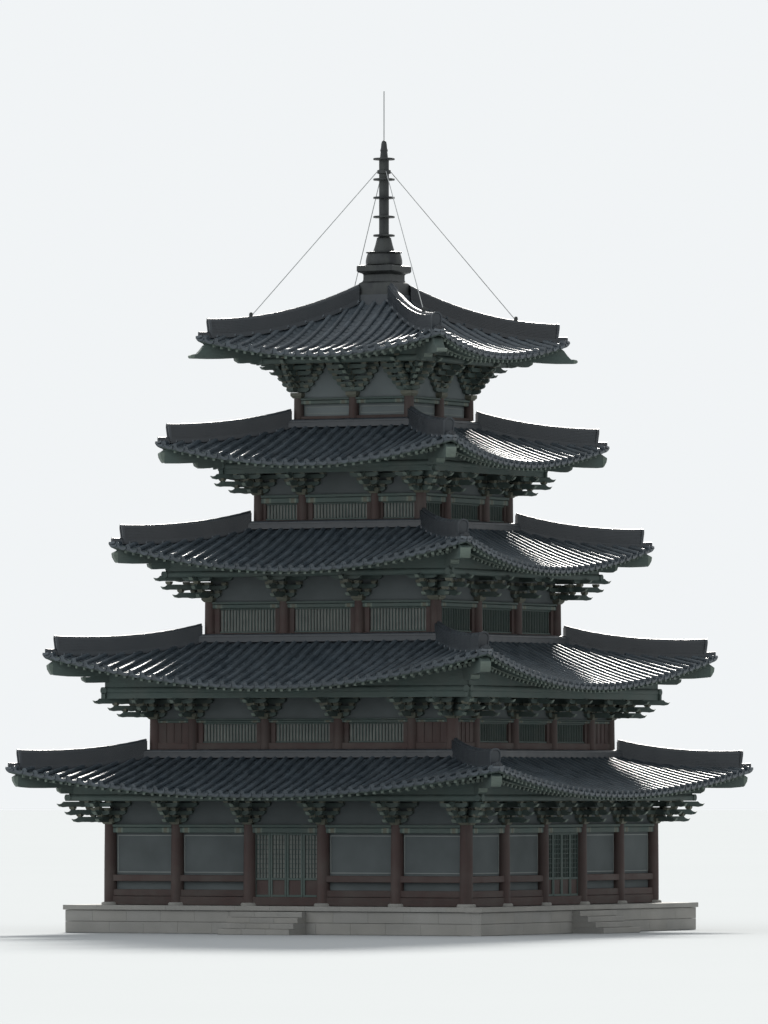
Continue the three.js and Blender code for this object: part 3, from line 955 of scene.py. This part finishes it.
# Bracket sets. tongues are each arm's tip: how far out of the columns' face, and how high over the head.
bracketSizes = {
    "tongues": [
        [(0.7, 0.17), (0.87, 0.4), (1.05, 0.66)],
        [(0.71, 0.17), (0.93, 0.37), (1.28, 0.6)],
        [(0.7, 0.24), (0.98, 0.5), (1.15, 0.78)],
        [(0.54, 0.17), (0.88, 0.38), (0.97, 0.62)],
        [(-0.05, 0.3), (0.12, 0.47), (0.33, 0.66), (0.53, 0.85), (0.76, 1.02), (1.02, 1.2)],
    ],
    "crossArms": [
        [0.42, 0.62, 0.8],
        [0.42, 0.6, 0.76],
        [0.42, 0.66, 0.86],
        [0.4, 0.64, 0.84],
        [0.42, 0.58, 0.74, 0.9, 0.98, 0.98],
    ],
    "armDrop": 0.1,  # an arm's underside below its tip
    "armHeight": 0.17,
    "armWidth": 0.12,
    "crossHeight": 0.136,
    "crossWidth": 0.108,
    "crossBack": 0.12,  # behind the columns' face
    "leastOuter": 0.3,  # an arm that reaches less carries no cross arm outside
    "blockHalf": 0.09,
    "blockHeight": 0.1,
    "blockBack": 0.27,  # a block's middle behind its arm's tip
    "headBlockHalf": 0.2,
    "headBlockHeight": 0.18,
    "headBlockBack": 0.16,  # behind the columns' face
    "outerArm": 0.8,  # length of a cross arm away from the wall, as part of the wall's
    "purlinRadius": 0.11,
    "purlinBack": 0.3,  # its axis behind the last tip
    "purlinPast": 0.14,  # its ends past the corner of its axis
    "bearerRise": 0.06,  # bearer's underside over the last tip
    "bearerTop": 0.08,  # below the purlin's axis
    "bearerHalf": 0.055,
    "leastBearer": 0.04,
    "wedgeHalf": 0.03,
    "infill": (0.43, 0.2),  # its inner and outer face behind the columns' face
    "underBoards": 0.36,  # wedge boards' and infill's top below the tiles
}


def layTongue(pile, place, outward, reach):
    # An arm that ends in a pointed, slightly upturned tongue, pale on its nose
    height, width = bracketSizes["armHeight"], bracketSizes["armWidth"]
    outline = [(-0.4, 0), (reach - 0.32, 0), (reach - 0.2, -0.012), (reach - 0.07, 0.02), (reach, 0.1),
               (reach - 0.08, 0.085), (reach - 0.16, 0.11), (reach - 0.22, height), (-0.4, height)]
    pile.slab(outline, place, outward, upwards, width)
    lip = [(reach - 0.15, -0.002), (reach - 0.064, 0.014), (reach + 0.008, 0.104), (reach - 0.06, 0.078)]
    pile.slab(lip, place, outward, upwards, width + 0.01, finish=1)


def layBlock(pile, seat, half=bracketSizes["blockHalf"], height=bracketSizes["blockHeight"]):
    levels = [(half * scale, seat.z + height * part) for scale, part in [(0.68, 0), (1, 0.45), (1, 1)]]
    pile.squareStack(levels, seat.x, seat.y, finish=2)


def layCrossArm(pile, place, along, half):
    # A boat-shaped arm along the wall with a block in the middle and on each end
    height = bracketSizes["crossHeight"]
    outline = [(-half, height), (-half, height * 0.55), (-half + 0.05, height * 0.2), (-half + 0.14, 0),
               (half - 0.14, 0), (half - 0.05, height * 0.2), (half, height * 0.55), (half, height)]
    pile.slab(outline, place, along, upwards, bracketSizes["crossWidth"])
    for way in (-1, 0, 1):
        layBlock(pile, place + along * (way * (half - bracketSizes["blockHalf"])) + upwards * height)


def layBracketSet(pile, wall, origin, outward, along):
    # origin is on the wall's face line at the head's height. A corner has only the arms on its hip.
    size = valuesOf(bracketSizes, wall.number)
    tongues = size["tongues"]
    isCorner = along is None
    if not isCorner:
        seat = origin - outward * size["headBlockBack"]
        layBlock(pile, seat, size["headBlockHalf"], size["headBlockHeight"])
    for i, (reach, rise) in enumerate(tongues):
        low = upwards * (rise - size["armDrop"])
        tip = reach * root2 if isCorner else reach
        layTongue(pile, origin + low, outward, tip)
        if not isCorner:
            layCrossArm(pile, origin - outward * size["crossBack"] + low, along, size["crossArms"][i])
        if i + 1 < len(tongues):
            seat = origin + outward * (tip - size["blockBack"])
            layBlock(pile, seat + low + upwards * size["armHeight"])
            if not isCorner and reach > size["leastOuter"]:
                nextLow = upwards * (tongues[i + 1][1] - size["armDrop"])
                layCrossArm(pile, seat + nextLow, along, size["crossArms"][i] * size["outerArm"])


def layPurlins(pile, roof, wall):
    # The round purlin that the sets carry, on a squared bearer, with wedge boards up to the rafters
    size = valuesOf(bracketSizes, wall.number)
    radius = size["purlinRadius"]
    reach, rise = size["tongues"][-1]
    out = wall.face + reach - size["purlinBack"]
    axis = roof.height(out, 0) - deckSizes["roundDrop"] - deckSizes["radius"] - radius
    end = out + size["purlinPast"]
    pile.loft([arc(Vector((x, out, axis)), outwards, upwards, radius, circleOf(14)) for x in (-end, end)])
    bearer = wall.head + rise + size["bearerRise"]
    half = size["bearerHalf"]
    if axis - radius - bearer > size["leastBearer"]:
        pile.beam((-end, out - half, bearer), (end, out + half, axis - size["bearerTop"]), edge=0.008)
    half = size["wedgeHalf"]
    rings = []
    for x in spread(-out, out, 12):
        top = roof.height(out, x / out) - size["underBoards"]
        rings.append([(x, *place) for place in boxOutline(out - half, out + half, axis, top)])
    pile.loft(rings)


def layInfill(pile, roof, wall):
    # Plaster between the sets, closed up to the deck
    inner, outer = [wall.face - back for back in bracketSizes["infill"]]

    def wallRing(u):
        return boxOutline(inner, outer, wall.head, roof.height(outer, u) - bracketSizes["underBoards"])

    pile.squareRing(wallRing, stations=12, finish=3)


def bracketTier(roof, wall):
    pile = Pile()
    for x in wall.lines:
        layBracketSet(pile, wall, Vector((x, wall.face, wall.head)), outwards, rightwards)
    layBracketSet(pile, wall, Vector((wall.face, wall.face, wall.head)), diagonal, None)
    layPurlins(pile, roof, wall)
    pile.fourSides()
    layInfill(pile, roof, wall)
    name = f"storey_{wall.number}_bracket_sets"
    materials = ["green", "paleGreen", "ochre", wall.plaster]
    pile.makePiece(name, materials, "green_timber", f"storey_{wall.number}_brackets")


# Frames: round columns, painted head beams, sills and rails
frameSizes = {
    "taper": 0.07,  # what a column's radius loses to its top, as a part
    "headBack": 0.24,  # beams' back behind the columns' face
    "tuck": 0.7,  # beams' ends from a column's axis, as part of its radius
    "upperHead": 0.34,  # upper head beam's height, as part of both
    "upperProud": 0.03,
    "bands": [0.10, 0.17, 0.30, 0.36],  # ends of the painted bands from a beam's end
    "bandReach": 0.4,  # as part of a beam
    "gap": 0.01,  # between two beams, one on the other
    "railLow": 1.66,
    "railHigh": 1.87,
    "sillLow": 1.18,
    "edge": 0.015,
    "columnSides": 28,
}


def layColumn(pile, wall, x):
    profile = []
    for part in (0, 0.35, 0.7, 1):
        radius = wall.radius * (1 - frameSizes["taper"] * part ** 2)
        profile.append((radius, wall.floor + (wall.head - wall.floor) * part))
    pile.turned(profile, frameSizes["columnSides"], Vector((x, wall.centre, 0)))


def layHeadBeam(pile, wall, x0, x1, z0, z1):
    # Painted in plain bands near both columns
    reach = (x1 - x0) * frameSizes["bandReach"]
    use = [mark for mark in frameSizes["bands"] if mark < reach]
    cuts = [x0 + mark for mark in use] + [x1 - mark for mark in reversed(use)]
    order = [1, 2, 3, 2][:len(use)]
    low = (x0, wall.face - frameSizes["headBack"], z0)
    pile.beam(low, (x1, wall.beamFace, z1), edge=0.02, finish=order + [1] + order[::-1], cuts=cuts)


def layRail(pile, wall, x0, x1, z0, z1, inset=0.0, edge=frameSizes["edge"]):
    low = (x0, wall.face - frameSizes["headBack"], z0)
    pile.beam(low, (x1, wall.beamFace - inset, z1), finish=4, edge=edge)


def layGroundRails(pile, wall, left, right, hasDoor):
    size = frameSizes
    layRail(pile, wall, left, right, wall.floor, size["sillLow"])
    if not hasDoor:
        layRail(pile, wall, left, right, size["sillLow"] + size["gap"], wall.sill, inset=0.02, edge=0.01)
        layRail(pile, wall, left, right, size["railLow"], size["railHigh"])


def frameStorey(wall):
    pile = Pile()
    size = frameSizes
    for x in wall.lines[1:]:
        layColumn(pile, wall, x)
    for i, (x0, x1) in enumerate(wall.bays):
        left, right = x0 + wall.radius * size["tuck"], x1 - wall.radius * size["tuck"]
        middle = wall.head - (wall.head - wall.headBottom) * size["upperHead"]
        layHeadBeam(pile, wall, left, right, wall.headBottom, middle - size["gap"])
        upper = (left, wall.face - size["headBack"], middle)
        pile.beam(upper, (right, wall.beamFace + size["upperProud"], wall.head), finish=1, edge=0.012)
        if wall.number == 1:
            layGroundRails(pile, wall, left, right, i == panelSizes["doorBay"])
        else:
            layRail(pile, wall, left, right, wall.floor, wall.sill)
    pile.fourSides()
    name = f"storey_{wall.number}_columns_and_beams"
    materials = ["red", "green", "paleGreen", "ochre", "redRail"]
    pile.makePiece(name, materials, "red_timber", f"storey_{wall.number}_frame")


# Panels: plaster fields, barred windows, door leaves and boarded bays behind the frame
panelSizes = {
    "doorBay": 2,  # on the ground storey, counted from 0
    "windows": [[], [1, 2, 3], [0, 1, 2], [0, 1, 2], []],  # bays with barred windows
    "fields": [[], [], [], [], [0, 1]],  # bays with plaster
    "face": 0.27,  # panels' face behind the columns' face
    "back": 0.335,
    "tuck": 0.72,  # panels' ends from a column's axis, as part of its radius
    "inset": 0.07,  # of the pale inner frame of a plaster field
    "strip": 0.035,  # and its width
    "least": (0.4, 0.12),  # narrowest and lowest inner frame
    "thin": 0.012,  # inner frame's thickness, and the gap behind the bars
    "proud": 0.07,  # rails' and stiles' face before the panels' face
    "jambProud": 0.1,
    "barProud": 0.05,
    "edge": 0.006,
    "jamb": 0.085,  # of a window, as part of its bay
    "rail": 0.05,
    "bar": 0.03,
    "barPitch": 0.115,
    "leaves": 4,
    "leafGap": 0.012,
    "stile": 0.07,
    "foot": 0.28,  # height of a leaf's boarded foot, as part of the leaf
    "latticeHalf": 0.011,
    "latticePitch": 0.11,
    "latticeRise": 0.16,
    "uprights": (0.01, 0.05),  # back and front of the lattice's bars before the panels' face
    "crossBars": (0.005, 0.04),
    "board": 0.28,  # width of a board, about
}


def layBacking(pile, wall, x0, x1, z0, z1, finish):
    # The plaster or paper of a bay. Gives back how far out its face is.
    face = wall.face - panelSizes["face"]
    pile.beam((x0, wall.face - panelSizes["back"], z0), (x1, face, z1), along=2, finish=finish)
    return face


def layPlasterField(pile, wall, x0, x1, z0, z1):
    # A plaster field with a thin pale inner frame
    face = layBacking(pile, wall, x0, x1, z0, z1, finish=0)
    inset, wide = panelSizes["inset"], panelSizes["strip"]
    a0, a1, b0, b1 = x0 + inset, x1 - inset, z0 + inset, z1 - inset
    leastWide, leastTall = panelSizes["least"]
    if a1 - a0 < leastWide or b1 - b0 < leastTall:
        return
    for c0, c1, d0, d1 in [(a0, a1, b0, b0 + wide), (a0, a1, b1 - wide, b1),
                           (a0, a0 + wide, b0 + wide, b1 - wide), (a1 - wide, a1, b0 + wide, b1 - wide)]:
        pile.beam((c0, face, d0), (c1, face + panelSizes["thin"], d1), finish=1)


def layBarredWindow(pile, wall, x0, x1, z0, z1):
    # Jambs, a rail above and below, upright bars between them, paper behind
    size = panelSizes
    face = layBacking(pile, wall, x0, x1, z0, z1, finish=2)
    jamb = size["jamb"] * (x1 - x0)
    left, right = x0 + jamb, x1 - jamb
    low, high = z0 + size["rail"], z1 - size["rail"]
    for a, b in ((x0, left), (right, x1)):
        pile.beam((a, face, z0), (b, face + size["jambProud"], z1), along=2, finish=3, edge=0.01)
    for a, b in ((z0, low), (high, z1)):
        pile.beam((left, face, a), (right, face + size["proud"], b), finish=4, edge=size["edge"])
    bars = max(2, round((right - left) / size["barPitch"]))
    near, far, half = face + size["thin"], face + size["barProud"], size["bar"] / 2
    for x in spread(left, right, bars)[1:-1]:
        pile.beam((x - half, near, low), (x + half, far, high), along=2, finish=4)


def layDoorLeaves(pile, wall, x0, x1, z0, z1):
    # Leaves with a boarded foot, lattice of crossed bars above, paper behind
    face = layBacking(pile, wall, x0, x1, z0, z1, finish=2)
    edges = spread(x0, x1, panelSizes["leaves"])
    gap = panelSizes["leafGap"] / 2
    for a, b in zip(edges, edges[1:]):
        layLeaf(pile, face, a + gap, b - gap, z0, z1)


def layLeaf(pile, face, x0, x1, z0, z1):
    size = panelSizes
    stile, half = size["stile"], size["latticeHalf"]
    left, right = x0 + stile, x1 - stile
    foot = z0 + (z1 - z0) * size["foot"]
    low, high = foot + stile / 2, z1 - stile
    front, edge = face + size["proud"], size["edge"]
    middle = face + size["proud"] / 2
    for a, b in ((x0, left), (right, x1)):
        pile.beam((a, face, z0), (b, front, z1), along=2, finish=4, edge=edge)
    for a, b in ((z0, z0 + stile), (foot - stile / 2, low), (high, z1)):
        pile.beam((left, face, a), (right, front, b), finish=4, edge=edge)
    pile.beam((left, face, z0 + stile), (right, middle, foot - stile / 2), along=2, finish=3)
    near, far = [face + proud for proud in size["uprights"]]
    for x in spread(left, right, max(2, round((right - left) / size["latticePitch"])))[1:-1]:
        pile.beam((x - half, near, low), (x + half, far, high), along=2, finish=4)
    near, far = [face + proud for proud in size["crossBars"]]
    for z in spread(low, high, max(2, round((high - low) / size["latticeRise"])))[1:-1]:
        pile.beam((left, near, z - half), (right, far, z + half), finish=4)


def layBoardedBay(pile, wall, x0, x1, z0, z1):
    # Upright boards with cover strips
    face = wall.beamFace - 0.04
    back = wall.face - panelSizes["back"]
    edges = spread(x0, x1, max(3, round((x1 - x0) / panelSizes["board"])))
    for a, b in zip(edges, edges[1:]):
        pile.beam((a + 0.003, back, z0), (b - 0.003, face, z1), along=2, finish=3, edge=panelSizes["edge"])
        if a > x0:
            pile.beam((a - 0.02, face, z0), (a + 0.02, face + 0.02, z1), along=2, finish=3, edge=0.004)


def panelStorey(wall):
    pile = Pile()
    size = valuesOf(panelSizes, wall.number)
    low, high = wall.sill, wall.headBottom
    for i, (x0, x1) in enumerate(wall.bays):
        left, right = x0 + wall.radius * size["tuck"], x1 - wall.radius * size["tuck"]
        if wall.number == 1 and i == size["doorBay"]:
            layDoorLeaves(pile, wall, left, right, frameSizes["sillLow"], high)
        elif wall.number == 1:
            layPlasterField(pile, wall, left, right, frameSizes["railHigh"], high)
            layPlasterField(pile, wall, left, right, low, frameSizes["railLow"])
        elif i in size["windows"]:
            layBarredWindow(pile, wall, left, right, low, high)
        elif i in size["fields"]:
            layPlasterField(pile, wall, left, right, low, high)
        else:
            layBoardedBay(pile, wall, left, right, low, high)
    pile.fourSides()
    # Thin skirts close the wall behind the sill and the head beams
    back = wall.face - size["back"]
    for z0, z1 in [(wall.floor, frameSizes["sillLow"] if wall.number == 1 else low), (high, wall.head)]:
        pile.squareRing(lambda u: boxOutline(back, back + 0.02, z0, z1))
    name = f"storey_{wall.number}_panels_and_lattice"
    materials = [wall.plaster, "palePlaster", "paper", "red", "green"]
    pile.makePiece(name, materials, "wall_panels", f"storey_{wall.number}_panels")


# Stone base: coping, two courses of blocks and four flights of steps
stoneSizes = {
    "coping": 0.16,
    "copingDepth": 0.6,
    "joint": 0.006,
    "block": 1.25,
    "face": 0.35,
    "shifts": (0.3, -0.2),  # of the joints in the two courses, as part of a block
    "edge": 0.015,
    "plinthHeight": 0.09,
    "plinthRim": 0.09,  # plinth's edge beyond the column
    "steps": 4,
    "slabs": 3,  # in each step
    "stepEdge": 0.012,
}


def layStoneRow(pile, half, z0, z1, blocks, shift, depth):
    # One side's row of blocks, which stops short of the next side's row
    size = stoneSizes
    gap = size["joint"] / 2
    wide = 2 * half / blocks
    edges = [-half] + [-half + wide * (i + shift) for i in range(1, blocks)] + [half]
    for a, b in zip(edges, edges[1:]):
        end = b - depth if b == half else b
        pile.beam((a + gap, half - depth, z0 + gap), (end - gap, half, z1 - gap), edge=size["edge"])


def layPlinths(pile, wall):
    # Round stones that the ground storey's columns stand on
    wide = wall.radius + stoneSizes["plinthRim"]
    top = wall.floor + stoneSizes["plinthHeight"]
    profile = [(wide, wall.floor - 0.01), (wide, top - 0.05), (wide - 0.012, top - 0.02), (wide - 0.04, top)]
    for x in wall.lines[1:]:
        pile.turned(profile, frameSizes["columnSides"], Vector((x, wall.centre, 0)))


def makeStoneBase(wall):
    size = stoneSizes
    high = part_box("stone_base")[1]
    half = high.x
    bodyHalf = -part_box("front_steps")[1].y
    under = high.z - size["coping"]
    pile = Pile()
    blocks = round(2 * half / size["block"])
    layStoneRow(pile, half, under, high.z, blocks, 0, size["copingDepth"])
    rise = under / len(size["shifts"])
    for course, shift in enumerate(size["shifts"]):
        layStoneRow(pile, bodyHalf, rise * course, rise * (course + 1), blocks, shift, size["face"])
    layPlinths(pile, wall)
    pile.fourSides()
    fill = bodyHalf - size["face"]
    core = half - size["copingDepth"]
    pile.squareStack([(fill, 0.004), (fill, under), (core, under), (core, high.z - 0.008)])
    pile.makePiece("stone_base_blocks", ["granite"], "granite", "stone_base")


def makeSteps():
    size = stoneSizes
    low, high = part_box("front_steps")
    start = -high.y
    going = (high.y - low.y) / size["steps"]
    gap = size["joint"] / 2
    edges = spread(-high.x, high.x, size["slabs"])
    levels = spread(0, high.z, size["steps"])
    pile = Pile()
    for step, (z0, z1) in enumerate(zip(levels, levels[1:])):
        reach = start + going * (size["steps"] - step)
        for a, b in zip(edges, edges[1:]):
            pile.beam((a + gap, start + 0.001, z0 + gap), (b - gap, reach, z1), edge=size["stepEdge"])
    pile.fourSides()
    flights = [f"{side}_steps" for side in ("front", "right", "back", "left")]
    pile.makePiece("step_slabs", ["granite"], "granite", *flights)


# Finial: square base with a rim, bowl, mast with thin ring plates. Outlines are (radius, rise) points.
finialSizes = {
    "base": [(0.64, 0), (0.62, 0.34), (0.6, 0.38), (0.52, 0.44), (0.5, 0.5), (0.5, 0.66), (0.53, 0.7),
             (0.63, 0.74), (0.66, 0.78), (0.66, 0.93), (0.64, 0.955)],
    "bowl": [(0.5, 0), (0.585, 0.02), (0.6, 0.07), (0.598, 0.16), (0.575, 0.27), (0.548, 0.36),
             (0.53, 0.4), (0.59, 0.405)],
    "mastFoot": [(0.345, 0), (0.345, 0.05), (0.32, 0.12), (0.29, 0.22), (0.255, 0.36), (0.232, 0.46),
                 (0.163, 0.5)],
    "mastTip": [(0.163, -0.58), (0.13, -0.54), (0.112, -0.38), (0.128, -0.32), (0.105, -0.26), (0.09, -0.1),
                (0.07, -0.03), (0.03, 0)],
    "shaft": 0.163,
    "rings": [22.73, 23.34, 23.97, 24.57, 25.24],  # undersides of the ring plates
    "ringRadius": 0.355,
    "ringThick": 0.06,
    "ringEdge": 0.012,
    "collar": (24.79, 24.91, 0.225),  # underside, top and radius
}


def raised(outline, z):
    return [(radius, z + rise) for radius, rise in outline]


def makeFinial():
    size = finialSizes
    low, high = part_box("finial_base")
    pile = Pile()
    pile.squareStack(raised(size["base"], low.z) + [(0.58, high.z - 0.005), (0.56, high.z)])
    pile.makePiece("finial_square_base", ["metal"], "finial_metal", "finial_base")
    low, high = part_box("finial_bowl")
    pile = Pile()
    pile.turned(raised(size["bowl"], low.z) + [(0.595, high.z - 0.01), (0.56, high.z)], 40)
    pile.makePiece("finial_turned_bowl", ["metal"], "finial_metal", "finial_bowl", smooth=40)
    makeMast()


def makeMast():
    size = finialSizes
    low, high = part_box("mast")
    shaft, edge = size["shaft"], size["ringEdge"]
    profile = raised(size["mastFoot"], low.z)
    plates = [(z, z + size["ringThick"], size["ringRadius"]) for z in size["rings"]]
    for z0, z1, radius in sorted([*plates, size["collar"]]):
        profile += [(shaft, z0), (radius - edge, z0), (radius, z0 + edge), (radius, z1 - edge),
                    (radius - edge, z1), (shaft, z1)]
    pile = Pile()
    pile.turned(profile + raised(size["mastTip"], high.z), 32)
    pile.makePiece("mast_and_ring_plates", ["metal"], "finial_metal", "mast", smooth=30)


packedFinishes = {"floor_": "boards", "stay_": "wire", "lightning_rod": "wire"}


def finishPackedNodes():
    # Upper floors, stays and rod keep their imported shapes
    for name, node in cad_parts.items():
        for start, finish in packedFinishes.items():
            if name.startswith(start):
                node.data.materials.clear()
                node.data.materials.append(finishes[finish])


# Floor and light
stageValues = {
    "floor": 1500.0,  # radius
    "floorColours": (colour(0.326, 0.339, 0.347), colour(0.334, 0.347, 0.355)),
    "sky": 1.0,
    "skyColour": colour(0.88, 0.905, 0.92),
}
suns = {  # azimuth, elevation, strength, width in degrees, colour
    "key_sun": (202.7, 31.3, 10.0, 10.0, (1.0, 0.97, 0.92)),  # low, from behind, as in the photograph
    "fill_sun": (-25, 30, 0.55, 60, (0.92, 0.96, 1.0)),
}


def makeStage():
    mesh = bpy.data.meshes.new("floor")
    edge = arc(towerFoot, rightwards, outwards, stageValues["floor"], circleOf(96))
    mesh.from_pydata(edge, [], [tuple(range(len(edge)))])
    ground = addObject("stage_floor", mesh)
    pale = Finish("pale_floor", roughness=1.0, specular=0.0)
    pale.feed("Base Color", pale.mix(pale.noise(0.05, 2.0), *stageValues["floorColours"]))
    mesh.materials.append(pale.material)


def makeLight():
    for name, (azimuth, elevation, strength, width, tint) in suns.items():
        light = bpy.data.lights.new(name, "SUN")
        light.energy = strength
        light.angle = math.radians(width)
        light.color = tint
        addObject(name, light, "Z", direction(azimuth, elevation))
    world = bpy.data.worlds.new("sky")
    world.use_nodes = True
    background = world.node_tree.nodes["Background"]
    background.inputs["Color"].default_value = stageValues["skyColour"]
    background.inputs["Strength"].default_value = stageValues["sky"]
    scene.world = world
    scene.view_settings.view_transform = "Standard"


placeCamera()
print("camera placed")
for number in range(1, 6):
    roof, wall = Roof(number), Wall(number)
    tileRoof(roof)
    ridgeRoof(roof)
    deckRoof(roof, wall)
    bracketTier(roof, wall)
    frameStorey(wall)
    panelStorey(wall)
    print(f"storey {number} made")
makeStoneBase(Wall(1))
makeSteps()
print("stone base made")
makeFinial()
finishPackedNodes()
print("finial made")
makeStage()
makeLight()
print("stage and light made")
